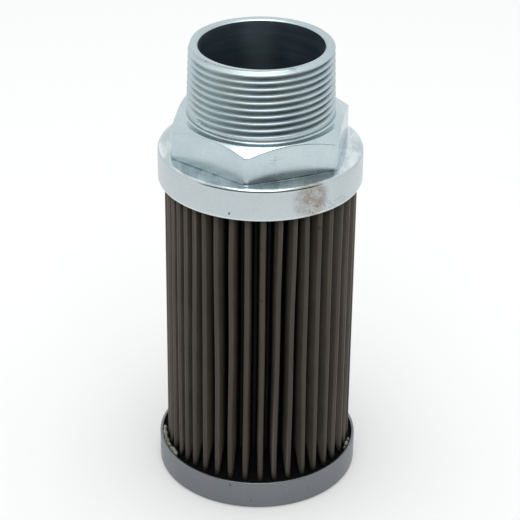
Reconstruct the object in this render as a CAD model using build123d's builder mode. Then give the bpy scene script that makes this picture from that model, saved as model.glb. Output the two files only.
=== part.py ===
"""Pleated wire-mesh filter element with a taper-threaded outlet nipple, in millimetres."""

from build123d import *
from math import cos, hypot, pi, radians, sin, tan
import os

os.makedirs("parts", exist_ok=True)

# Outlet nipple, turned from one bar: R 1 1/2 taper thread, plain band, hexagon, spigot and lip.
# The thread's crests have the gauge radius at the gauge length from the nipple's end.
gauge_radius = 23.9
gauge_length = 12.7
taper = 1 / 32
thread_length = 21.1
thread_lead = 0.4
thread_lead_depth = 0.3
nipple_wall = 3.47
bore_edge = 0.4
plain_band_height = 2.45
band_foot_flare = 0.4
hex_across_flats = 54.0
hex_height = 11.7
hex_turn = -8.3
hex_corner_cut = 0.38
hex_edge_break = 0.3
hex_face_inset = 0.4
hex_chamfer_angle = 30.0
spigot_wall = 1.67
spigot_gap = 0.05
lip_overhang = 1.2
lip_thickness = 1.2

# Core tube, punched with upright slots and centred on the nipple's lip
core_gap = 0.5
core_wall = 0.8
slot_width = 6.0
slot_height = 13.0
slot_columns = 8
slot_bridge = 6.7

# Pleated mesh. Angles run from the -Y direction towards +X.
pleat_count = 42
pleat_depth = 7.0
pleat_core_gap = 0.2
mesh_thickness = 0.5
crest_width = 1.7
root_width = 1.5
first_pleat_angle = 2.9
seam_angle = 180.0

# The pleats were bunched by hand round the core, so their spacing drifts in two slow waves.
wide_drift = 2.6
wide_drift_zero = 18.0
fine_drift = 0.75
fine_drift_zero = 59.5

# Folded steel clip that holds the two ends of the mesh together
clip_thickness = 0.4
clip_leg = 4.0
clip_gap = 0.05

# Upper end cap: a pressed cup turned over, with a hole for the nipple's spigot
upper_cap_top = 121.4
upper_cap_height = 10.95
upper_cap_wall = 1.0
upper_cap_bend = 1.2
upper_crest_gap = 0.9

# Lower end cap: a closed pressed cup. Its underside is z = 0 and its axis is the Z axis.
lower_cap_height = 10.25
lower_cap_wall = 1.0
lower_cap_bend = 1.3
lower_crest_gap = 1.5

# Flats that stand for the round of each pressed bend
bend_flats = 2

# Resin rings that fill the end caps round the core and hold the ends of the mesh
lower_resin_depth = 7.6
upper_resin_depth = 6.0
resin_under_mesh = 1.0

# Radii, from the bore outwards
bore_radius = gauge_radius - nipple_wall
spigot_radius = bore_radius + spigot_wall
cap_hole_radius = spigot_radius + spigot_gap
lip_radius = spigot_radius + lip_overhang
core_inner_radius = lip_radius + core_gap
core_radius = core_inner_radius + core_wall
root_radius = core_radius + pleat_core_gap + mesh_thickness
crest_radius = core_radius + pleat_core_gap + pleat_depth
upper_cap_radius = crest_radius + upper_crest_gap + upper_cap_wall
lower_cap_radius = crest_radius + lower_crest_gap + lower_cap_wall
hex_corner_radius = hex_across_flats / 2 / cos(radians(30))
hex_turned_radius = hex_corner_radius - hex_corner_cut
hex_face_radius = hex_across_flats / 2 - hex_face_inset

# Heights along the axis
upper_cap_inside = upper_cap_top - upper_cap_wall
hex_top = upper_cap_top + hex_height
thread_foot = hex_top + plain_band_height
nipple_top = thread_foot + thread_length
gauge_plane = nipple_top - gauge_length
lip_foot = upper_cap_inside - lip_thickness
mesh_foot = lower_cap_wall + resin_under_mesh
mesh_top = upper_cap_inside - resin_under_mesh
resin_level = lower_cap_wall + lower_resin_depth


def thread_radius(height):
    """Radius over the thread's crests at a height, on the 1 in 16 taper."""
    return gauge_radius + (gauge_plane - height) * taper


def polar(radius, degrees, side=0.0):
    """Point at a radius on the ray at an angle, moved sideways in the turning direction."""
    angle = radians(degrees)
    return (
        radius * sin(angle) + side * cos(angle),
        -radius * cos(angle) + side * sin(angle),
    )


def crest_angle(number):
    """Angle of a pleat's crest, counted from the pleat that faces -Y."""
    even = first_pleat_angle + number * 360 / pleat_count
    wide = wide_drift * sin(radians(2 * (even - wide_drift_zero)))
    fine = fine_drift * sin(radians(5 * (even - fine_drift_zero)))
    return even + wide + fine


def nearest_crest(degrees):
    """Number of the pleat whose crest is nearest to an angle."""
    return min(range(pleat_count), key=lambda number: abs(crest_angle(number) - degrees))


def root_corners(crest):
    """The two outer-face corners of the root that follows a pleat."""
    middle = (crest_angle(crest) + crest_angle(crest + 1)) / 2
    return [polar(root_radius, middle, -root_width / 2), polar(root_radius, middle, root_width / 2)]


def crest_corners(crest):
    """The two outer-face corners of a pleat's crest."""
    angle = crest_angle(crest)
    return [polar(crest_radius, angle, -crest_width / 2), polar(crest_radius, angle, crest_width / 2)]


def along(start, end, distance):
    """Point at a distance from the start of a straight line."""
    share = distance / hypot(end[0] - start[0], end[1] - start[1])
    return (start[0] + (end[0] - start[0]) * share, start[1] + (end[1] - start[1]) * share)


def mitred(points, distance):
    """Open outline moved sideways by a distance, to the left where positive, with mitred corners."""
    normals = []
    for (x0, y0), (x1, y1) in zip(points, points[1:]):
        length = hypot(x1 - x0, y1 - y0)
        normals.append(((y0 - y1) / length, (x1 - x0) / length))
    moved = []
    for (x, y), (ax, ay), (bx, by) in zip(points, normals[:1] + normals, normals + normals[-1:]):
        reach = distance / (1 + ax * bx + ay * by)
        moved.append((x + (ax + bx) * reach, y + (ay + by) * reach))
    return moved


def cup_outline(radius, height, wall, bend, hole_radius):
    """Half section of a pressed cup, as radius and depth from its closed face."""
    bend_points = []
    for step in range(bend_flats + 1):
        turn = radians(90 * step / bend_flats)
        bend_points.append((radius - bend + bend * sin(turn), bend - bend * cos(turn)))
    inner_radius = radius - wall
    rim = [(radius, height), (inner_radius, height), (inner_radius, wall)]
    return [(hole_radius, 0), *bend_points, *rim, (hole_radius, wall)]


# Lower end cap, open upwards
with BuildPart() as lower_end_cap:
    with BuildSketch(Plane.XZ):
        with BuildLine():
            Polyline(
                *cup_outline(lower_cap_radius, lower_cap_height, lower_cap_wall, lower_cap_bend, 0),
                close=True,
            )
        make_face()
    revolve(axis=Axis.Z)

# Upper end cap, the same pressing upside down, pierced for the nipple's spigot
upper_outline = cup_outline(
    upper_cap_radius, upper_cap_height, upper_cap_wall, upper_cap_bend, cap_hole_radius
)
with BuildPart() as upper_end_cap:
    with BuildSketch(Plane.XZ):
        with BuildLine():
            Polyline(*[(radius, upper_cap_top - depth) for radius, depth in upper_outline], close=True)
        make_face()
    revolve(axis=Axis.Z)

# Nipple: hexagon with its turned corners and chamfer first, then the turned body and the bore
chamfer_drop = (hex_turned_radius - hex_face_radius) * tan(radians(hex_chamfer_angle))
flare_top = hex_top + band_foot_flare
lead_foot = nipple_top - thread_lead

with BuildPart() as threaded_nipple:
    with BuildSketch(Plane.XY.offset(upper_cap_top)):
        RegularPolygon(hex_corner_radius, 6, rotation=hex_turn - 90)
    extrude(amount=hex_height)
    chamfer(threaded_nipple.edges().group_by(Axis.Z)[0], hex_edge_break)
    with BuildSketch(Plane.XZ):
        with BuildLine():
            Polyline(
                (0, upper_cap_top),
                (hex_turned_radius, upper_cap_top),
                (hex_turned_radius, hex_top - chamfer_drop),
                (hex_face_radius, hex_top),
                (0, hex_top),
                close=True,
            )
        make_face()
    revolve(axis=Axis.Z, mode=Mode.INTERSECT)
    with BuildSketch(Plane.XZ):
        with BuildLine():
            Polyline(
                (0, hex_top),
                (thread_radius(flare_top) + band_foot_flare, hex_top),
                (thread_radius(flare_top), flare_top),
                (thread_radius(lead_foot), lead_foot),
                (thread_radius(nipple_top) - thread_lead_depth, nipple_top),
                (0, nipple_top),
                close=True,
            )
        make_face()
    revolve(axis=Axis.Z)
    with BuildSketch(Plane.XY.offset(upper_cap_top)):
        Circle(spigot_radius)
    extrude(amount=lip_foot - upper_cap_top)
    with BuildSketch(Plane.XY.offset(lip_foot)):
        Circle(lip_radius)
    extrude(amount=lip_thickness)
    with BuildSketch(Plane.XZ):
        with BuildLine():
            Polyline(
                (0, lip_foot),
                (bore_radius, lip_foot),
                (bore_radius, nipple_top - bore_edge),
                (bore_radius + bore_edge, nipple_top),
                (0, nipple_top),
                close=True,
            )
        make_face()
    revolve(axis=Axis.Z, mode=Mode.SUBTRACT)

# Core tube, standing between the two end caps, its slots staggered from row to row
core_free = upper_cap_inside - upper_resin_depth - resin_level
slot_rows = int((core_free - slot_bridge) // (slot_height + slot_bridge))
first_row = resin_level + (core_free - (slot_rows - 1) * (slot_height + slot_bridge)) / 2
slot_planes = []
for row in range(slot_rows):
    for column in range(slot_columns):
        turn = (column + row % 2 / 2) * 2 * pi / slot_columns
        centre = (0, 0, first_row + row * (slot_height + slot_bridge))
        outward = (sin(turn), -cos(turn), 0)
        slot_planes.append(Plane(origin=centre, x_dir=(cos(turn), sin(turn), 0), z_dir=outward))

with BuildPart() as core_tube:
    with BuildSketch(Plane.XY.offset(lower_cap_wall)):
        Circle(core_radius)
        Circle(core_inner_radius, mode=Mode.SUBTRACT)
    extrude(amount=upper_cap_inside - lower_cap_wall)
    with BuildSketch(*slot_planes):
        Rectangle(slot_width, slot_height)
    extrude(amount=2 * core_radius, mode=Mode.SUBTRACT)

# Filter mesh: one strip folded into pleats, its two ends side by side under the seam clip.
# The outline follows the outer face of the strip from one end to the other.
seam_pleat = nearest_crest(seam_angle)
seam_cut = clip_thickness + clip_gap
seam_crest = crest_corners(seam_pleat)
seam_roots = [root_corners(seam_pleat - 1)[1], root_corners(seam_pleat)[0]]
seam_ends = [along(crest, root, seam_cut) for crest, root in zip(seam_crest, seam_roots)]

strip = [seam_ends[1]]
for pleat in range(seam_pleat, seam_pleat + pleat_count - 1):
    strip += root_corners(pleat) + crest_corners(pleat + 1)
strip += root_corners(seam_pleat - 1)
strip.append(seam_ends[0])

with BuildPart() as filter_mesh:
    with BuildSketch(Plane.XY.offset(mesh_foot)):
        with BuildLine():
            Polyline(*strip, *reversed(mitred(strip, mesh_thickness)), close=True)
        make_face()
    extrude(amount=mesh_top - mesh_foot)

# Seam clip: a channel folded over the two ends, its legs along the flanks they close
clip_ends = [along(crest, root, seam_cut + clip_leg) for crest, root in zip(seam_crest, seam_roots)]
clip_path = [clip_ends[0], seam_ends[0], seam_ends[1], clip_ends[1]]
clip_inside = mitred(clip_path, -clip_gap)
clip_outside = mitred(clip_path, -clip_gap - clip_thickness)
with BuildPart() as mesh_seam_clip:
    with BuildSketch(Plane.XY.offset(mesh_foot)):
        with BuildLine():
            Polyline(*clip_inside, *reversed(clip_outside), close=True)
        make_face()
    extrude(amount=mesh_top - mesh_foot)

# Resin rings, moulded round the core, the mesh and the clip in each end cap
with BuildPart() as lower_potting:
    with BuildSketch(Plane.XY.offset(lower_cap_wall)):
        Circle(lower_cap_radius - lower_cap_wall)
        Circle(core_radius, mode=Mode.SUBTRACT)
    extrude(amount=lower_resin_depth)
    add([filter_mesh.part, mesh_seam_clip.part], mode=Mode.SUBTRACT)

with BuildPart() as upper_potting:
    with BuildSketch(Plane.XY.offset(upper_cap_inside)):
        Circle(upper_cap_radius - upper_cap_wall)
        Circle(core_radius, mode=Mode.SUBTRACT)
    extrude(amount=-upper_resin_depth)
    add([filter_mesh.part, mesh_seam_clip.part], mode=Mode.SUBTRACT)

pieces = {
    "lower_end_cap": lower_end_cap,
    "upper_end_cap": upper_end_cap,
    "threaded_nipple": threaded_nipple,
    "core_tube": core_tube,
    "filter_mesh": filter_mesh,
    "mesh_seam_clip": mesh_seam_clip,
    "lower_potting": lower_potting,
    "upper_potting": upper_potting,
}
for name, piece in pieces.items():
    piece.part.label = name
    export_step(piece.part, f"parts/{name}.step")
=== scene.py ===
"""Looks of the pleated hydraulic filter element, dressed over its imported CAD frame."""

from math import ceil, cos, hypot, pi, radians, sin, tan

import bmesh
import bpy
import numpy as np
from mathutils import Euler, Matrix, Vector


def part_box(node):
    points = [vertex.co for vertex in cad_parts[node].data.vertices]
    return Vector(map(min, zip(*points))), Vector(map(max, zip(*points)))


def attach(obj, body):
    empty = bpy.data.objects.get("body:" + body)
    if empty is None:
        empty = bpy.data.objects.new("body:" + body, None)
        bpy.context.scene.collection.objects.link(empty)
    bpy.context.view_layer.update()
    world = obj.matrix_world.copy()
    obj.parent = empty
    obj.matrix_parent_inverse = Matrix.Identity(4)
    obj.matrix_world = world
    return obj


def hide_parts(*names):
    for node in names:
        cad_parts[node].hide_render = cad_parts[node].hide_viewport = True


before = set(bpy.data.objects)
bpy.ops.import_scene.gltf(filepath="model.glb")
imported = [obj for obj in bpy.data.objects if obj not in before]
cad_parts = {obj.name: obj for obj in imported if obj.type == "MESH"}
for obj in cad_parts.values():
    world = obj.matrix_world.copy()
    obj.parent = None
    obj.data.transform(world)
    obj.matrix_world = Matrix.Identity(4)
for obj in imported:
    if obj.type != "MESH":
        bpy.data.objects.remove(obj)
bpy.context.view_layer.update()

MM = 0.001


def node_box(node):
    """Lowest and highest corner of a CAD node, in millimetres."""
    return tuple([value / MM for value in corner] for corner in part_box(node))


# Sizes read from the frame, in millimetres
upper_low, upper_high = node_box("upper_end_cap")
lower_low, lower_high = node_box("lower_end_cap")
nipple_low, nipple_high = node_box("threaded_nipple")
core_low, core_high = node_box("core_tube")
upper_cap_radius = upper_high[0]
upper_cap_top = upper_high[2]
upper_cap_foot = upper_low[2]
lower_cap_radius = lower_high[0]
lower_cap_top = lower_high[2]
nipple_top = nipple_high[2]
lip_foot = nipple_low[2]
core_radius = core_high[0]

# Nipple, as in the part's source
gauge_radius = 23.9
gauge_plane = nipple_top - 12.7
taper = 1 / 32
bore_radius = 20.43
bore_edge = 0.4
spigot_radius = 22.1
lip_radius = 23.3
lip_thickness = 1.2
hex_across_flats = 54.0
hex_height = 11.7
hex_turn = -8.3
hex_corner_cut = 0.38
hex_face_radius = 26.6
hex_chamfer_angle = 30.0
hex_edge_break = 0.3
band_height = 2.45
band_foot_flare = 0.5
thread_lead = 0.4
thread_lead_depth = 0.3

# Whitworth thread of 11 turns to the inch: a right-hand groove that ends short of the plain band
thread_pitch = 25.4 / 11
thread_depth = 1.479
thread_rounding = 0.317
thread_half_angle = 27.5
groove_height = 135.83
groove_end_angle = -58.0
groove_end_length = 5.0
rows_per_pitch = 16

# End caps
cap_wall = 1.0
cap_hole_radius = 22.15
upper_cap_bend = 1.2
lower_cap_bend = 1.3

# Pleated mesh
pleat_count = 42
pleat_depth = 7.0
pleat_core_gap = 0.2
mesh_thickness = 0.5
crest_width = 1.7
root_width = 1.5
first_pleat_angle = 2.9
seam_angle = 180.0
wide_drift = 2.6
wide_drift_zero = 18.0
fine_drift = 0.75
fine_drift_zero = 59.5
seam_cut = 0.45
resin_under_mesh = 1.0
# The pack of pleats sits a little to the right of the caps between its two held ends
pack_shift = 0.28

hex_turned_radius = hex_across_flats / 2 / cos(radians(30)) - hex_corner_cut
hex_top = upper_cap_top + hex_height
thread_foot = hex_top + band_height
crest_radius = core_radius + pleat_core_gap + pleat_depth
root_radius = core_radius + pleat_core_gap + mesh_thickness
mesh_foot = cap_wall + resin_under_mesh
mesh_top = upper_cap_top - cap_wall - resin_under_mesh


# Mesh helpers

def add_piece(name, points, faces, material, sharp_angle=35.0):
    """A piece of the object from points in millimetres, its doubles merged and its faces outward."""
    mesh = bpy.data.meshes.new(name)
    mesh.from_pydata((np.asarray(points) * MM).tolist(), [], faces)
    shape = bmesh.new()
    shape.from_mesh(mesh)
    bmesh.ops.remove_doubles(shape, verts=shape.verts, dist=2e-6)
    bmesh.ops.recalc_face_normals(shape, faces=shape.faces)
    shape.to_mesh(mesh)
    shape.free()
    mesh.shade_smooth()
    mesh.set_sharp_from_angle(angle=radians(sharp_angle))
    piece = bpy.data.objects.new(name, mesh)
    bpy.context.scene.collection.objects.link(piece)
    mesh.materials.append(material)
    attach(piece, "root")
    return piece


def bend(before, corner, after, size, steps=4):
    """Points of a rounded corner. Each point is a (radius, height) pair of numbers or arrays."""
    before, corner, after = np.array(np.broadcast_arrays(*before, *corner, *after), float).reshape(3, 2, -1)
    start = corner + (before - corner) / np.hypot(*(before - corner)) * size
    end = corner + (after - corner) / np.hypot(*(after - corner)) * size
    shares = [step / steps for step in range(steps + 1)]
    curve = [(1 - t) ** 2 * start + 2 * t * (1 - t) * corner + t * t * end for t in shares]
    return [point.squeeze() for point in curve]


def section(corners, closed):
    """Rounded section from (radius, height, rounding size) corners."""
    rings = []
    count = len(corners)
    for index, (radius, height, size) in enumerate(corners):
        ends = not closed and index in (0, count - 1)
        if size == 0 or ends:
            rings.append(np.array(np.broadcast_arrays(radius, height), float))
            continue
        before = corners[index - 1][:2]
        after = corners[(index + 1) % count][:2]
        rings += bend(before, (radius, height), after, size)
    return rings


def swept(rings, angles, closed, shifts=None):
    """Points and quads of rings round the axis. A ring that climbs like a screw meets its own
    start a number of rings higher, which shifts gives."""
    columns = len(angles)
    turn = np.radians(angles)
    points = []
    for radius, height in rings:
        radius, height = (np.broadcast_to(value, columns) for value in (radius, height))
        points.append(np.column_stack([radius * np.sin(turn), -radius * np.cos(turn), height]))
    faces = []
    last = len(rings) if closed else len(rings) - 1
    for ring in range(last):
        above = (ring + 1) % len(rings)
        for column in range(columns):
            beside = (column + 1) % columns
            ring_beside, above_beside = ring, above
            if beside == 0 and shifts is not None:
                ring_beside, above_beside = shifts[ring], shifts[above]
            corner_a = ring * columns + column
            corner_b = ring_beside * columns + beside
            corner_c = above_beside * columns + beside
            corner_d = above * columns + column
            faces.append((corner_a, corner_b, corner_c, corner_d))
    return np.concatenate(points), faces


def even_angles(count):
    return np.arange(count) * 360 / count


# Material helpers

def new_material(name, color, metallic, roughness):
    """A Principled material with its constants set on the shader's own sockets."""
    material = bpy.data.materials.new(name)
    material.use_nodes = True
    shader = material.node_tree.nodes["Principled BSDF"]
    shader.inputs["Base Color"].default_value = (*color, 1)
    shader.inputs["Metallic"].default_value = metallic
    shader.inputs["Roughness"].default_value = roughness
    return material, Graph(material.node_tree), shader


class Graph:
    """Short ways to add and join shader nodes."""

    def __init__(self, tree):
        self.tree = tree
        self.place = self.node("ShaderNodeTexCoord").outputs["Object"]

    def node(self, kind, **settings):
        made = self.tree.nodes.new(kind)
        for name, value in settings.items():
            setattr(made, name, value)
        return made

    def put(self, socket, value):
        """Sets a socket to a constant or joins it to another node's output."""
        if isinstance(value, bpy.types.NodeSocket):
            self.tree.links.new(value, socket)
        else:
            socket.default_value = value

    def math(self, operation, *values, clamp=False):
        made = self.node("ShaderNodeMath", operation=operation, use_clamp=clamp)
        for socket, value in zip(made.inputs, values):
            self.put(socket, value)
        return made.outputs[0]

    def split(self, vector):
        made = self.node("ShaderNodeSeparateXYZ")
        self.put(made.inputs[0], vector)
        return made.outputs

    def ramp(self, value, low, high, to_low=0.0, to_high=1.0):
        """Straight change from one value to another between two limits, smoothed at both ends."""
        made = self.node("ShaderNodeMapRange", interpolation_type="SMOOTHSTEP")
        for name, setting in zip(
            ("Value", "From Min", "From Max", "To Min", "To Max"), (value, low, high, to_low, to_high)
        ):
            self.put(made.inputs[name], setting)
        return made.outputs["Result"]

    def noise(self, scale, detail=3.0, roughness=0.55, vector=None, stretch=None):
        """Noise about zero to one, over places in metres."""
        vector = vector or self.place
        if stretch:
            made = self.node("ShaderNodeMapping")
            self.put(made.inputs["Vector"], vector)
            made.inputs["Scale"].default_value = stretch
            vector = made.outputs["Vector"]
        made = self.node("ShaderNodeTexNoise")
        self.put(made.inputs["Vector"], vector)
        made.inputs["Scale"].default_value = scale
        made.inputs["Detail"].default_value = detail
        made.inputs["Roughness"].default_value = roughness
        return made.outputs["Fac"]

    def mix(self, share, first, second, blend="MIX"):
        """Mix of two colours."""
        made = self.node("ShaderNodeMix", data_type="RGBA", blend_type=blend)
        self.put(made.inputs["Factor"], share)
        for socket, value in zip((made.inputs[6], made.inputs[7]), (first, second)):
            self.put(socket, (*value, 1) if isinstance(value, tuple) else value)
        return made.outputs[2]

    def mix_value(self, share, first, second):
        """Mix of two numbers."""
        made = self.node("ShaderNodeMix", data_type="FLOAT")
        self.put(made.inputs["Factor"], share)
        self.put(made.inputs[2], first)
        self.put(made.inputs[3], second)
        return made.outputs[0]

    def bump(self, height, distance, strength=1.0, normal=None):
        made = self.node("ShaderNodeBump")
        self.put(made.inputs["Height"], height)
        made.inputs["Distance"].default_value = distance
        made.inputs["Strength"].default_value = strength
        if normal is not None:
            self.put(made.inputs["Normal"], normal)
        return made.outputs["Normal"]

    def radius(self):
        """Distance from the axis."""
        x, y, _ = self.split(self.place)
        return self.math("SQRT", self.math("ADD", self.math("MULTIPLY", x, x), self.math("MULTIPLY", y, y)))

    def height(self):
        return self.split(self.place)[2]

    def spot(self, place, size, softness=0.5):
        """One inside a blob round a place on the object, in millimetres, fading to zero."""
        made = self.node("ShaderNodeVectorMath", operation="SUBTRACT")
        self.put(made.inputs[0], self.place)
        made.inputs[1].default_value = [value * MM for value in place]
        scaled = self.node("ShaderNodeVectorMath", operation="DIVIDE")
        self.put(scaled.inputs[0], made.outputs[0])
        scaled.inputs[1].default_value = [value * MM for value in size]
        length = self.node("ShaderNodeVectorMath", operation="LENGTH")
        self.put(length.inputs[0], scaled.outputs[0])
        return self.ramp(length.outputs["Value"], 1 - softness, 1 + softness, 1, 0)


def on_wall(radius, degrees, height):
    """Place on a round wall, its angle from the -Y direction towards +X."""
    return (radius * sin(radians(degrees)), -radius * cos(radians(degrees)), height)


def thread_cone(height):
    """Radius over the thread's crests."""
    return gauge_radius + (gauge_plane - height) * taper


# Materials

ZINC = (0.54, 0.645, 0.675)
ZINC_PALE = (0.59, 0.69, 0.7)
ZINC_DULL = (0.44, 0.53, 0.565)


def zinc_cloud(graph, shader, base, pale, dull, scale=60.0):
    """Blue-grey zinc plate with soft clouds, and rougher where it is dull."""
    clouds = graph.noise(scale, detail=5.0)
    fine = graph.noise(scale * 18, detail=2.0)
    color = graph.mix(graph.ramp(clouds, 0.35, 0.65), dull, pale)
    color = graph.mix(0.5, color, base)
    color = graph.mix(graph.ramp(fine, 0.3, 0.8, 0.0, 0.12), color, (0.3, 0.33, 0.36))
    return color, clouds, fine


def nipple_material():
    """Turned and zinc-plated steel: dark oily bore with a painted highlight, painted shade in the thread's roots and
    low on the flats, faint straw tint.
    """
    material, graph, shader = new_material("zinc_nipple", ZINC, 1.0, 0.26)
    color, clouds, fine = zinc_cloud(graph, shader, ZINC, ZINC_PALE, ZINC_DULL)
    radius = graph.radius()
    height = graph.height()
    # How deep below the thread's crests the surface lies, as a share of the thread's depth
    cone = graph.math("MULTIPLY_ADD", graph.math("SUBTRACT", gauge_plane * MM, height), taper, gauge_radius * MM)
    sunk = graph.math("DIVIDE", graph.math("SUBTRACT", cone, radius), thread_depth * MM)
    on_thread = graph.ramp(height, (hex_top + 1.2) * MM, (hex_top + 1.8) * MM)
    outside = graph.ramp(radius, (bore_radius + 0.5) * MM, (bore_radius + 0.9) * MM)
    below_top = graph.ramp(height, (nipple_top - 2.0) * MM, (nipple_top - 1.0) * MM, 1, 0)
    # Painted shade: darker deep in the thread's roots, and lighter towards the left side where more light falls
    root_shade = graph.math("MULTIPLY", graph.ramp(sunk, 0.25, 0.85), on_thread)
    root_shade = graph.math("MULTIPLY", graph.math("MULTIPLY", root_shade, outside), below_top)
    uneven = graph.ramp(graph.noise(70.0, detail=3.0), 0.3, 0.7, 0.75, 1.0)
    side_shade = graph.ramp(graph.split(graph.place)[0], -19 * MM, 3 * MM, 0.1, 0.8)
    color = graph.mix(on_thread, color, graph.mix(1.0, color, (0.95, 0.95, 0.95), "MULTIPLY"))
    color = graph.mix(graph.math("MULTIPLY", root_shade, graph.math("MULTIPLY", uneven, side_shade)), color, (0.07, 0.085, 0.095))
    straw = graph.math("MULTIPLY", graph.ramp(graph.noise(45.0), 0.45, 0.7), on_thread)
    color = graph.mix(graph.math("MULTIPLY", straw, 0.25), color, (0.5, 0.52, 0.44))
    # Darker line round the foot of the plain band, a painted dark reflection on the step in front, and painted shade
    # low on the flats
    band_foot_line = graph.math(
        "MULTIPLY",
        graph.ramp(height, (hex_top + 0.45) * MM, (hex_top + 0.6) * MM),
        graph.ramp(height, (hex_top + 0.85) * MM, (hex_top + 1.15) * MM, 1, 0),
    )
    color = graph.mix(graph.math("MULTIPLY", graph.math("MULTIPLY", band_foot_line, outside), 0.6), color, (0.06, 0.075, 0.09))
    # Painted reflection: a dark strip on the step at the hexagon's top, in front only
    step_reflection = graph.math(
        "MULTIPLY",
        graph.ramp(height, (hex_top - 0.03) * MM, (hex_top - 0.01) * MM),
        graph.ramp(radius, (thread_cone(hex_top) + 0.4) * MM, (thread_cone(hex_top) + 0.6) * MM),
    )
    x, y, _ = graph.split(graph.place)
    in_front = graph.ramp(y, -22 * MM, -10 * MM, 0.6, 0)
    color = graph.mix(graph.math("MULTIPLY", step_reflection, in_front), color, (0.1, 0.125, 0.14))
    # Painted shade low on the hexagon's flats, deepest near the front corner
    flat_foot_shade = graph.ramp(height, upper_cap_top * MM, (upper_cap_top + 8.5) * MM, 1, 0)
    at_corner = graph.math("ABSOLUTE", graph.math("ADD", x, 4.4 * MM))
    flat_foot_shade = graph.math("MULTIPLY", flat_foot_shade, graph.ramp(at_corner, 2 * MM, 20 * MM, 0.55, 0.15))
    color = graph.mix(flat_foot_shade, color, (0.28, 0.33, 0.36))
    # Nick and smudge on the rim, scratches on the flat to the right of the front corner
    nick = graph.spot(on_wall(bore_radius + 2.4, -52, nipple_top - 0.4), (0.8, 0.8, 0.35))
    smudge = graph.spot(on_wall(bore_radius + 1.8, 26, nipple_top), (1.4, 0.9, 0.5))
    color = graph.mix(graph.math("MULTIPLY", nick, 0.8), color, (0.08, 0.09, 0.1))
    color = graph.mix(graph.math("MULTIPLY", smudge, 0.5), color, (0.2, 0.22, 0.24))
    scratch = graph.noise(500.0, detail=2.0, stretch=(1.0, 1.0, 5.0))
    scratched = graph.spot(on_wall(hex_across_flats / 2 + 0.6, 7, hex_top - 4.6), (3.4, 3.0, 1.6))
    scratched = graph.math("MULTIPLY", scratched, graph.ramp(scratch, 0.56, 0.62))
    color = graph.mix(graph.math("MULTIPLY", scratched, 0.5), color, (0.2, 0.23, 0.26))
    # Bore: dark and oily, with faint rings left by the tool and a painted highlight on its far wall
    bore = graph.ramp(radius, (bore_radius + 0.01) * MM, (bore_radius + 0.05) * MM, 1, 0)
    tool_rings = graph.noise(500.0, detail=3.0, stretch=(0.05, 0.05, 1.0))
    bore_color = graph.mix(graph.ramp(tool_rings, 0.35, 0.7), (0.155, 0.21, 0.25), (0.21, 0.28, 0.32))
    bore_highlight = graph.spot(on_wall(bore_radius, 183, nipple_top - 9), (4.5, 20, 13), softness=0.9)
    bore_color = graph.mix(graph.math("MULTIPLY", bore_highlight, 0.6), bore_color, (0.46, 0.55, 0.58))
    color = graph.mix(bore, color, bore_color)
    graph.put(shader.inputs["Base Color"], color)
    rough = graph.ramp(clouds, 0.3, 0.7, 0.2, 0.3)
    rough = graph.math("ADD", rough, graph.math("MULTIPLY", on_thread, 0.14))
    rough = graph.math("ADD", rough, graph.math("MULTIPLY", bore, 0.1))
    bright_edge = graph.ramp(height, (upper_cap_top + 0.3) * MM, (upper_cap_top + 0.4) * MM, 1, 0)
    graph.put(shader.inputs["Roughness"], graph.mix_value(bright_edge, rough, 0.06))
    turned = graph.noise(900.0, detail=2.0, stretch=(0.02, 0.02, 1.0))
    normal = graph.bump(turned, 0.00002, 0.5)
    graph.put(shader.inputs["Normal"], graph.bump(fine, 0.00002, 0.4, normal))
    return material


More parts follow.
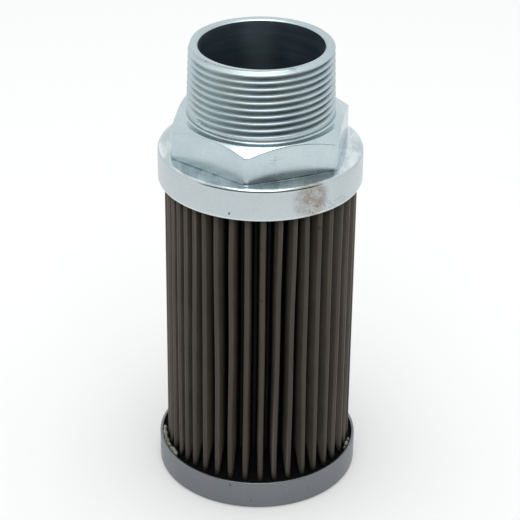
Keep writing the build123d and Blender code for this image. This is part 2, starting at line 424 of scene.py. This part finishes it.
def upper_cap_material():
    """Pressed and zinc-plated cup: streaky polished top painted lighter as painted light from above, a painted
    highlight along the lip, brown stain on the right of its skirt.
    """
    material, graph, shader = new_material("zinc_cap", ZINC_PALE, 1.0, 0.3)
    color, clouds, fine = zinc_cloud(graph, shader, (0.52, 0.585, 0.6), (0.55, 0.61, 0.62), (0.49, 0.55, 0.57))
    height = graph.height()
    # Top: streaks in the polish, and painted lighter than the skirt as painted light from above
    on_top = graph.ramp(height, (upper_cap_top - 0.35) * MM, (upper_cap_top - 0.1) * MM)
    streaks = graph.noise(260.0, detail=4.0, stretch=(1.0, 0.35, 1.0))
    streaked_lit_top = graph.mix(graph.ramp(streaks, 0.35, 0.65), (0.48, 0.56, 0.58), (0.74, 0.82, 0.83))
    color = graph.mix(on_top, color, streaked_lit_top)
    # Painted highlight: a pale line along the lip's lower edge
    lip = graph.ramp(height, (upper_cap_foot + 0.5) * MM, (upper_cap_foot + 0.9) * MM, 1, 0)
    color = graph.mix(graph.math("MULTIPLY", lip, 0.7), color, (0.68, 0.74, 0.74))
    # Stain: a thin brown film, with darker grains that trail away along the skirt's lower edge
    grains = graph.noise(1700.0, detail=3.0)
    film = graph.noise(350.0, detail=4.0)
    patch = graph.spot(on_wall(upper_cap_radius, 29, 116.4), (5.6, 5.6, 6.2), softness=0.35)
    trail = graph.spot(on_wall(upper_cap_radius, 45, 112.4), (8.5, 8.5, 1.7))
    light_film = graph.math("MULTIPLY", patch, graph.ramp(film, 0.35, 0.65, 0.3, 0.8))
    color = graph.mix(light_film, color, (0.37, 0.325, 0.28))
    spread = graph.math("ADD", graph.math("MULTIPLY", patch, 0.5), graph.math("MULTIPLY", trail, 0.5), clamp=True)
    speckles = graph.math("MULTIPLY", spread, graph.ramp(grains, 0.52, 0.62))
    color = graph.mix(speckles, color, (0.17, 0.145, 0.12))
    speck = graph.spot(on_wall(upper_cap_radius, -16.6, 112.5), (0.3, 0.3, 0.45))
    color = graph.mix(speck, color, (0.08, 0.08, 0.08))
    graph.put(shader.inputs["Base Color"], color)
    rough = graph.math("ADD", graph.ramp(clouds, 0.3, 0.7, 0.27, 0.35), graph.math("MULTIPLY", light_film, 0.3))
    polished = graph.ramp(streaks, 0.3, 0.7, 0.05, 0.12)
    shoulder = graph.ramp(height, (upper_cap_top - 1.6) * MM, (upper_cap_top - 1.0) * MM)
    graph.put(shader.inputs["Roughness"], graph.mix_value(shoulder, rough, polished))
    dents = graph.noise(160.0, detail=2.0)
    normal = graph.bump(dents, 0.00006, 0.3)
    graph.put(shader.inputs["Normal"], graph.bump(fine, 0.00002, 0.4, normal))
    return material


def lower_cap_material():
    """The same pressing in duller plate, with a few specks and painted shade along its lower edge."""
    material, graph, shader = new_material("lower_cap_steel", (0.2, 0.21, 0.225), 1.0, 0.36)
    color, clouds, fine = zinc_cloud(graph, shader, (0.205, 0.22, 0.235), (0.218, 0.232, 0.247), (0.19, 0.205, 0.222))
    height = graph.height()
    # Painted shade along the lower edge, where it mirrors the dark floor at contact
    foot = graph.ramp(height, 0.2 * MM, 0.9 * MM, 1, 0)
    color = graph.mix(graph.math("MULTIPLY", foot, 0.6), color, (0.06, 0.065, 0.07))
    for degrees, level, size in ((-15.1, 8.7, 0.32), (-3, 3.1, 0.2), (31, 5.2, 0.22), (-38, 6.4, 0.2)):
        speck = graph.spot(on_wall(lower_cap_radius, degrees, level), (size, size, size))
        color = graph.mix(speck, color, (0.04, 0.04, 0.04))
    graph.put(shader.inputs["Base Color"], color)
    graph.put(shader.inputs["Roughness"], graph.ramp(clouds, 0.3, 0.7, 0.32, 0.42))
    graph.put(shader.inputs["Normal"], graph.bump(fine, 0.00002, 0.4))
    return material


def mesh_material():
    """Woven wire, brown-grey, soaked black by the resin that has crept up from the lower cap."""
    material, graph, shader = new_material("mesh_steel", (0.12, 0.112, 0.1), 0.55, 0.45)
    across = graph.node("ShaderNodeAttribute", attribute_name="crest_offset").outputs["Fac"]
    along = graph.node("ShaderNodeAttribute", attribute_name="strip_length").outputs["Fac"]
    height = graph.height()
    clouds = graph.noise(60.0, detail=3.0)
    tint = graph.noise(25.0, detail=2.0)
    color = graph.mix(graph.ramp(clouds, 0.3, 0.7), (0.128, 0.109, 0.089), (0.155, 0.134, 0.111))
    color = graph.mix(graph.ramp(tint, 0.5, 0.75, 0, 0.5), color, (0.135, 0.126, 0.085))
    # Painted shade: the tips darker, and the pleats darkening deep toward their roots
    tip_shade = graph.ramp(across, 0.55, 1.25, 0.75, 0)
    color = graph.mix(tip_shade, color, (0.045, 0.042, 0.038))
    valley_shade = graph.ramp(across, 1.9, 5.2)
    color = graph.mix(valley_shade, color, (0.004, 0.0035, 0.003))
    # Painted shadow on the pleats just under the upper cap's skirt
    skirt_shadow = graph.ramp(height, (upper_cap_foot - 5) * MM, (upper_cap_foot + 1) * MM)
    color = graph.mix(graph.math("MULTIPLY", skirt_shadow, 0.6), color, (0.02, 0.018, 0.016))
    # Bruised crests
    for degrees, level in ((1.5, 80.6), (-4.5, 104.0), (9.5, 104.3), (1.0, 99.5), (37.0, 104.0)):
        bruise = graph.spot(on_wall(crest_radius, degrees, level), (0.5, 0.5, 0.7))
        color = graph.mix(graph.math("MULTIPLY", bruise, 0.7), color, (0.03, 0.027, 0.024))
    # The resin stands to the rim at a crest and some millimetres higher beside it
    creep = graph.ramp(across, 0.2, 4.5, -0.8, 9.0)
    ragged = graph.math("MULTIPLY_ADD", graph.noise(500.0), 1.6, -0.8)
    limit = graph.math("MULTIPLY", graph.math("ADD", creep, ragged), MM)
    limit = graph.math("ADD", limit, lower_cap_top * MM)
    soaked = graph.ramp(graph.math("SUBTRACT", height, limit), -0.0012, 0.003, 1, 0)
    color = graph.mix(soaked, color, (0.003, 0.003, 0.003))
    graph.put(shader.inputs["Base Color"], color)
    dull = graph.math("MAXIMUM", soaked, graph.math("MULTIPLY", valley_shade, 0.8))
    graph.put(shader.inputs["Metallic"], graph.math("MULTIPLY_ADD", dull, -0.55, 0.55))
    shader.inputs["Specular IOR Level"].default_value = 0.1
    graph.put(shader.inputs["Roughness"], graph.ramp(clouds, 0.3, 0.7, 0.4, 0.48))
    wires = 2 * pi / 0.00035
    warp = graph.math("SINE", graph.math("MULTIPLY", along, wires))
    weft = graph.math("SINE", graph.math("MULTIPLY", height, wires))
    weave = graph.math("MULTIPLY_ADD", graph.math("MULTIPLY", warp, weft), 0.5, 0.5)
    graph.put(shader.inputs["Normal"], graph.bump(weave, 0.00004, 0.5))
    return material


def resin_material(name, color, roughness):
    material, graph, shader = new_material(name, color, 0.0, roughness)
    shader.inputs["Specular IOR Level"].default_value = 0.04
    lumps = graph.noise(500.0, detail=3.0)
    graph.put(shader.inputs["Roughness"], graph.ramp(lumps, 0.3, 0.7, roughness - 0.06, roughness + 0.12))
    graph.put(shader.inputs["Normal"], graph.bump(lumps, 0.0002, 0.4))
    return material


def glue_material():
    """Dried glue, olive-grey and blotchy."""
    material, graph, shader = new_material("glue", (0.18, 0.19, 0.13), 0.0, 0.4)
    blotches = graph.noise(900.0, detail=3.0)
    color = graph.mix(graph.ramp(blotches, 0.35, 0.65), (0.1, 0.11, 0.06), (0.34, 0.35, 0.3))
    graph.put(shader.inputs["Base Color"], color)
    return material


def plain_steel(name, color, roughness):
    """Mill-finish steel for the core and the seam clip."""
    material, graph, shader = new_material(name, color, 1.0, roughness)
    grain = graph.noise(300.0, detail=4.0)
    darker = tuple(value * 0.7 for value in color)
    graph.put(shader.inputs["Base Color"], graph.mix(graph.ramp(grain, 0.35, 0.7), color, darker))
    graph.put(shader.inputs["Roughness"], graph.ramp(grain, 0.3, 0.7, roughness - 0.08, roughness + 0.1))
    graph.put(shader.inputs["Normal"], graph.bump(grain, 0.00003, 0.3))
    return material


# Threaded nipple

def groove_depth(height, angle):
    """Depth of the thread's groove below its crests at a height and an angle."""
    turns = (height - groove_height) / thread_pitch - angle / 360
    nearest = np.round(turns)
    from_root = np.abs(turns - nearest) * thread_pitch
    from_crest = thread_pitch / 2 - from_root
    edge = thread_rounding * cos(radians(thread_half_angle))
    edge_depth = thread_rounding * (1 - sin(radians(thread_half_angle)))
    flank = edge_depth + (from_crest - edge) / tan(radians(thread_half_angle))
    crest = thread_rounding - np.sqrt(np.maximum(thread_rounding**2 - from_crest**2, 0))
    root = thread_depth - thread_rounding + np.sqrt(np.maximum(thread_rounding**2 - from_root**2, 0))
    depth = np.where(from_crest < edge, crest, np.where(from_root < edge, root, flank))
    travelled = angle + 360 * nearest
    entered = np.clip((travelled - groove_end_angle) / groove_end_length, 0, 1)
    return depth * entered * entered * (3 - 2 * entered)


def nipple_angles():
    """Columns of the nipple's surface, closer together at the hexagon's corners."""
    near = [0.0, 0.6, 1.1, 1.35, 1.8]
    half = near + list(np.arange(2.4, 30.01, 1.2))
    side = half + [60 - angle for angle in reversed(half[1:-1])]
    return np.array([hex_turn + 60 * corner + angle for corner in range(6) for angle in side])


def hex_radius(angles):
    """Radius of the hexagon's outline, its corners turned off round."""
    from_corner = np.abs((angles - hex_turn + 30) % 60 - 30)
    flat = hex_across_flats / 2 / np.cos(np.radians(30 - from_corner))
    return np.minimum(flat, hex_turned_radius)


def thread_rings(angles):
    """Rings that climb with the thread, from the plain band to the nipple's end."""
    step = thread_pitch / rows_per_pitch
    start = groove_height + thread_pitch * angles[0] / 360
    start -= ceil((start - thread_foot + thread_pitch * 1.5) / step) * step
    rows = ceil((nipple_top - start + thread_pitch) / step)
    lead_radius = thread_cone(nipple_top) - thread_lead_depth
    lead_slope = (thread_cone(nipple_top - thread_lead) - lead_radius) / thread_lead
    rings = []
    for row in range(rows + 1):
        climb = thread_pitch * (angles - angles[0]) / 360
        height = np.clip(start + row * step + climb, thread_foot - thread_pitch / 2, nipple_top)
        radius = thread_cone(height) - groove_depth(height, angles)
        lead = lead_radius + lead_slope * (nipple_top - height)
        rings.append((np.minimum(radius, lead), height))
    return rings


def make_nipple(material):
    """Nipple with its thread, plain band, hexagon, spigot and lip as one closed surface."""
    angles = nipple_angles()
    outline = hex_radius(angles)
    chamfer_foot = hex_top - (outline - hex_face_radius) * tan(radians(hex_chamfer_angle))
    below = section(
        [
            (bore_radius, lip_foot + 5, 0),
            (bore_radius, lip_foot, 0.2),
            (lip_radius, lip_foot, 0.3),
            (lip_radius, lip_foot + lip_thickness, 0),
            (spigot_radius, lip_foot + lip_thickness, 0),
            (spigot_radius, upper_cap_top, 0),
            (outline - hex_edge_break, upper_cap_top, 0),
            (outline, upper_cap_top + hex_edge_break, 0),
            (outline, chamfer_foot, 0.3),
            (hex_face_radius, hex_top, 0.25),
            (thread_cone(hex_top), hex_top, band_foot_flare),
            (thread_cone(thread_foot - thread_pitch / 2), thread_foot - thread_pitch / 2, 0),
        ],
        closed=False,
    )
    climbing = thread_rings(angles)
    inside = [(bore_radius + bore_edge, nipple_top), (bore_radius, nipple_top - bore_edge)]
    rings = below + climbing + inside
    shifts = list(range(len(rings)))
    first, last = len(below), len(below) + len(climbing) - 1
    for ring in range(first, last + 1):
        shifts[ring] = min(ring + rows_per_pitch, last)
    points, faces = swept(rings, angles, closed=True, shifts=shifts)
    piece = add_piece("nipple", points, faces, material, sharp_angle=40)
    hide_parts("threaded_nipple")
    return piece


# End caps

def make_upper_cap(material):
    """Pressed cup turned over, its lip slightly rounded."""
    inner = upper_cap_radius - cap_wall
    ceiling = upper_cap_top - cap_wall
    rings = section(
        [
            (cap_hole_radius, upper_cap_top, 0.1),
            (upper_cap_radius, upper_cap_top, upper_cap_bend),
            (upper_cap_radius, upper_cap_foot, 0.3),
            (inner, upper_cap_foot, 0.2),
            (inner, ceiling, 0.6),
            (cap_hole_radius, ceiling, 0.1),
        ],
        closed=True,
    )
    points, faces = swept(rings, even_angles(240), closed=True)
    piece = add_piece("upper_cap", points, faces, material)
    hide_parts("upper_end_cap")
    return piece


def make_lower_cap(material):
    """Closed pressed cup that the element stands on."""
    inner = lower_cap_radius - cap_wall
    rings = section(
        [
            (0, cap_wall, 0),
            (inner, cap_wall, 0.8),
            (inner, lower_cap_top, 0.25),
            (lower_cap_radius, lower_cap_top, 0.4),
            (lower_cap_radius, 0, lower_cap_bend),
            (0, 0, 0),
        ],
        closed=False,
    )
    points, faces = swept(rings, even_angles(240), closed=False)
    piece = add_piece("lower_cap", points, faces, material)
    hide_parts("lower_end_cap")
    return piece


# Pleated mesh

def polar(radius, degrees, side=0.0):
    """Point at a radius on the ray at an angle, moved sideways in the turning direction."""
    angle = radians(degrees)
    return (radius * sin(angle) + side * cos(angle), -radius * cos(angle) + side * sin(angle))


def crest_angle(number):
    """Angle of a pleat's crest, counted from the pleat that faces -Y."""
    even = first_pleat_angle + number * 360 / pleat_count
    wide = wide_drift * sin(radians(2 * (even - wide_drift_zero)))
    fine = fine_drift * sin(radians(5 * (even - fine_drift_zero)))
    return even + wide + fine


def smooth_step(value, low, high):
    share = min(max((value - low) / (high - low), 0), 1)
    return share * share * (3 - 2 * share)


def held(height):
    """How free the strip is at a height: nothing in the end caps' resin, one between them."""
    return smooth_step(height, mesh_foot, 14) * (1 - smooth_step(height, 110, 115))


class Sway:
    """How far each pleat leans and waves from its straight line, still where it is held."""

    def __init__(self, seed):
        chance = np.random.default_rng(seed)
        self.lean = chance.normal(0, 0.35, pleat_count)
        self.wave = chance.uniform(0.03, 0.12, pleat_count)
        self.phase = chance.uniform(0, 2 * pi, pleat_count)
        self.length = chance.uniform(50, 110, pleat_count)

    def degrees(self, pleat, height):
        number = pleat % pleat_count
        from_seam = abs((crest_angle(number) - seam_angle + 180) % 360 - 180)
        freedom = held(height) * smooth_step(from_seam, 8, 25)
        tilt = self.lean[number] * (height - 62) / 60
        wave = self.wave[number] * sin(2 * pi * height / self.length[number] + self.phase[number])
        return freedom * (tilt + wave) / crest_radius * 57.3


def along(start, end, distance):
    """Point at a distance from the start of a straight line."""
    share = distance / hypot(end[0] - start[0], end[1] - start[1])
    return (start[0] + (end[0] - start[0]) * share, start[1] + (end[1] - start[1]) * share)


def mitred(points, distance):
    """Open outline moved sideways by a distance, to the left where positive, with mitred corners."""
    normals = []
    for (x0, y0), (x1, y1) in zip(points, points[1:]):
        length = hypot(x1 - x0, y1 - y0)
        normals.append(((y0 - y1) / length, (x1 - x0) / length))
    moved = []
    for (x, y), (ax, ay), (bx, by) in zip(points, normals[:1] + normals, normals + normals[-1:]):
        reach = distance / (1 + ax * bx + ay * by)
        moved.append((x + (ax + bx) * reach, y + (ay + by) * reach))
    return moved


def pleat_corners(height, sway):
    """Outer outline of the strip at a height, from one end at the seam to the other."""
    seam = min(range(pleat_count), key=lambda number: abs(crest_angle(number) - seam_angle))

    def angle(number):
        return crest_angle(number) + sway.degrees(number, height)

    def crest(number):
        shift = pack_shift * held(height) * sin(radians(angle(number)))
        return [polar(crest_radius + shift, angle(number), side) for side in (-crest_width / 2, crest_width / 2)]

    def root(number):
        middle = (angle(number) + angle(number + 1)) / 2
        return [polar(root_radius, middle, side) for side in (-root_width / 2, root_width / 2)]

    seam_crest = crest(seam)
    seam_roots = [root(seam - 1)[1], root(seam)[0]]
    ends = [along(corner, foot, seam_cut) for corner, foot in zip(seam_crest, seam_roots)]
    strip = [ends[1]]
    for number in range(seam, seam + pleat_count - 1):
        strip += root(number) + crest(number + 1)
    strip += root(seam - 1)
    strip.append(ends[0])
    return strip


def rounded(points, sizes, steps):
    """Outline with its inner corners rounded off, by a size that goes with the corner's radius."""
    smooth = [points[0]]
    for before, corner, after in zip(points, points[1:], points[2:]):
        size = sizes[0] if hypot(*corner) > (crest_radius + root_radius) / 2 else sizes[1]
        smooth += [tuple(point) for point in bend(before, corner, after, size, steps)]
    smooth.append(points[-1])
    return smooth


def make_mesh(material):
    """Pleated strip as a closed solid, with its place across each pleat kept for the material."""
    sway = Sway(seed=11)
    heights = np.linspace(mesh_foot, mesh_top, 34)
    rows = []
    for height in heights:
        corners = pleat_corners(height, sway)
        outer = rounded(corners, (0.8, 0.5), 4)
        inner = rounded(mitred(corners, mesh_thickness), (0.4, 0.25), 4)
        rows.append(np.array(outer + inner[::-1]))
    count = len(rows[0])
    points = [(x, y, height) for row, height in zip(rows, heights) for x, y in row]
    faces = []
    for level in range(len(rows) - 1):
        for index in range(count):
            beside = (index + 1) % count
            low, high = level * count, (level + 1) * count
            faces.append((low + index, low + beside, high + beside, high + index))
    half = count // 2
    for base in (0, (len(rows) - 1) * count):
        for index in range(half - 1):
            faces.append((base + index, base + index + 1, base + count - 2 - index, base + count - 1 - index))
    piece = add_piece("pleated_mesh", points, faces, material, sharp_angle=60)
    mark_strip(piece)
    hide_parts("filter_mesh")
    return piece


def mark_strip(piece):
    """Keeps for each point its distance from the middle of its crest and its length along the strip."""
    count = len(piece.data.vertices)
    places = np.zeros(count * 3)
    piece.data.vertices.foreach_get("co", places)
    places = places.reshape(-1, 3) / MM
    angles = np.degrees(np.arctan2(places[:, 0], -places[:, 1])) % 360
    crests = np.array([crest_angle(number) for number in range(-2, pleat_count + 2)])
    from_crest = np.abs(angles[:, None] - crests[None, :]).min(axis=1)
    radius = np.hypot(places[:, 0], places[:, 1])
    side = radius * np.radians(from_crest)
    offset = np.hypot(side, (crest_radius - radius))
    for name, values in (("crest_offset", offset), ("strip_length", angles * 0.0004)):
        attribute = piece.data.attributes.new(name, "FLOAT", "POINT")
        attribute.data.foreach_set("value", values.astype(np.float32))


# Resin in the lower cap

def make_resin(material):
    """Resin that fills the lower cap to near its rim and climbs into the valleys of the pleats."""
    inner, outer = core_radius, lower_cap_radius - cap_wall
    columns = pleat_count * 12
    angles = even_angles(columns)
    rings = [(inner, cap_wall + 0.05)]
    radii = list(np.linspace(inner, outer, 16))
    chance = np.random.default_rng(5)
    waves = [(chance.integers(5, 60), chance.uniform(0, 2 * pi)) for _ in range(6)]
    wobble = sum(np.sin(np.radians(angles) * count + phase) for count, phase in waves) / 6
    for radius in radii:
        share = min(max((crest_radius - radius) / (crest_radius - root_radius), 0), 1)
        level = lower_cap_top - 1.3 + 10.0 * share**1.3
        rings.append((radius, level + wobble * (0.25 + 0.5 * share)))
    rings.append((outer, cap_wall + 0.05))
    points, faces = swept(rings, angles, closed=True)
    piece = add_piece("resin", points, faces, material)
    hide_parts("lower_potting")
    return piece


def make_glue(material):
    """Lumps of glue left in the gap between the pleats and the lower cap's rim."""
    chance = np.random.default_rng(7)
    shape = bmesh.new()
    lumps = [(-60 - 3.1 * step, chance.uniform(0.7, 1.15)) for step in range(10)]
    lumps += [(70, 0.6), (74, 0.8), (78, 0.7)]
    for degrees, size in lumps:
        radius = lower_cap_radius - cap_wall - 0.75
        x, y, z = on_wall(radius, degrees + chance.uniform(-1, 1), lower_cap_top - chance.uniform(0.5, 1.0))
        place = Matrix.Translation((x * MM, y * MM, z * MM)) @ Matrix.Rotation(radians(degrees), 4, "Z")
        grow = Matrix.Diagonal((size * chance.uniform(1.0, 1.7) * MM, size * 0.8 * MM, size * chance.uniform(1.0, 1.8) * MM, 1))
        bmesh.ops.create_icosphere(shape, subdivisions=3, radius=1, matrix=place @ grow)
    for vertex in shape.verts:
        vertex.co += vertex.co.normalized() * chance.uniform(-0.06, 0.06) * MM
    mesh = bpy.data.meshes.new("glue")
    shape.to_mesh(mesh)
    shape.free()
    mesh.shade_smooth()
    piece = bpy.data.objects.new("glue", mesh)
    bpy.context.scene.collection.objects.link(piece)
    mesh.materials.append(material)
    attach(piece, "root")


# Stage, light and camera

def make_floor():
    """Wide white floor, with painted shade near the object. Rays from the camera and from reflections see it paler,
    shadow kept.
    """
    bpy.ops.mesh.primitive_plane_add(size=8)
    floor = bpy.context.object
    floor.name = "floor"
    material = bpy.data.materials.new("floor_white")
    material.use_nodes = True
    tree = material.node_tree
    tree.nodes.clear()
    graph = Graph(tree)
    diffuse = graph.node("ShaderNodeBsdfDiffuse")
    # Painted shade: extra darkening near the object from ambient occlusion, on top of its own shadow
    shade = graph.node("ShaderNodeAmbientOcclusion")
    shade.inputs["Distance"].default_value = 0.35
    white = (0.95, 0.95, 0.95)
    graph.put(diffuse.inputs["Color"], graph.mix(graph.math("MULTIPLY", graph.math("SUBTRACT", 1.0, shade.outputs["AO"]), 0.5), white, (0, 0, 0)))
    glow = graph.node("ShaderNodeEmission")
    rays = graph.node("ShaderNodeLightPath")
    seen = graph.math("MAXIMUM", rays.outputs["Is Camera Ray"], rays.outputs["Is Glossy Ray"])
    seen = graph.math("MAXIMUM", seen, rays.outputs["Is Transmission Ray"])
    blend = graph.node("ShaderNodeMixShader")
    graph.put(blend.inputs[0], graph.math("MULTIPLY", seen, 0.3))
    graph.put(blend.inputs[1], diffuse.outputs[0])
    graph.put(blend.inputs[2], glow.outputs[0])
    output = graph.node("ShaderNodeOutputMaterial")
    graph.put(output.inputs["Surface"], blend.outputs[0])
    floor.data.materials.append(material)


def make_world():
    """White surroundings, softer as light. In reflections the studio is dim in front, behind the
    camera, and between the white backdrop and the soft box."""
    world = bpy.data.worlds.new("studio")
    bpy.context.scene.world = world
    world.use_nodes = True
    graph = Graph(world.node_tree)
    background = world.node_tree.nodes["Background"]
    background.inputs["Color"].default_value = (0.98, 0.99, 1.0, 1)
    way = graph.node("ShaderNodeTexCoord").outputs["Generated"]
    _, forward, up = graph.split(way)
    in_front = graph.ramp(forward, -0.55, -0.25, 1, 0)
    low = graph.math("MULTIPLY", graph.ramp(up, -0.1, 0.0), graph.ramp(up, 0.45, 0.65, 1, 0))
    dim = graph.math("MULTIPLY", in_front, low)
    rays = graph.node("ShaderNodeLightPath")
    shiny = graph.math("MAXIMUM", rays.outputs["Is Glossy Ray"], rays.outputs["Is Transmission Ray"])
    strength = graph.mix_value(graph.math("MULTIPLY", dim, 0.85), 1.0, 0.0)
    # As light on the object it comes a little more from behind
    softer = graph.math("MULTIPLY_ADD", forward, 0.25, 0.78)
    strength = graph.mix_value(shiny, softer, strength)
    graph.put(background.inputs["Strength"], graph.mix_value(rays.outputs["Is Camera Ray"], strength, 1.0))


def add_lamp(name, direction, distance, size, radiance, target):
    """Soft box of a given brightness, facing the object."""
    lamp = bpy.data.lights.new(name, "AREA")
    lamp.shape = "RECTANGLE"
    lamp.size, lamp.size_y = size
    lamp.energy = radiance * pi * size[0] * size[1]
    holder = bpy.data.objects.new(name, lamp)
    way = Vector(direction).normalized()
    holder.location = Vector(target) + way * distance
    holder.rotation_euler = way.to_track_quat("Z", "Y").to_euler()
    bpy.context.scene.collection.objects.link(holder)


def make_camera():
    """Camera at the photograph's place, worked out from the ellipses of the rims."""
    data = bpy.data.cameras.new("camera")
    data.sensor_width = 36.0
    data.lens = 131.533
    camera = bpy.data.objects.new("camera", data)
    bpy.context.scene.collection.objects.link(camera)
    pitch, turn, roll = radians(90 - 29.0145), -0.00049, 0.01203
    place = Matrix.Translation((0, -0.561225, 0.389311))
    camera.matrix_world = place @ Euler((pitch, 0, turn)).to_matrix().to_4x4() @ Matrix.Rotation(roll, 4, "Z")
    bpy.context.scene.camera = camera


def finish_cad_node(node, material):
    """Gives a CAD node that stays in view its material."""
    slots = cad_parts[node].data.materials
    for index in range(len(slots)):
        slots[index] = material
    if len(slots) == 0:
        slots.append(material)


make_nipple(nipple_material())
make_upper_cap(upper_cap_material())
make_lower_cap(lower_cap_material())
make_mesh(mesh_material())
black = resin_material("black_resin", (0.002, 0.002, 0.002), 0.6)
make_resin(black)
make_glue(glue_material())
finish_cad_node("upper_potting", black)
finish_cad_node("core_tube", plain_steel("core_steel", (0.38, 0.4, 0.43), 0.4))
finish_cad_node("mesh_seam_clip", plain_steel("clip_steel", (0.5, 0.5, 0.5), 0.35))

make_floor()
make_world()
add_lamp("overhead", (0, -cos(radians(70)), sin(radians(70))), 1.0, (0.73, 1.02), 2.4, (0, 0, 0.12))
make_camera()
bpy.context.scene.view_settings.view_transform = "Standard"
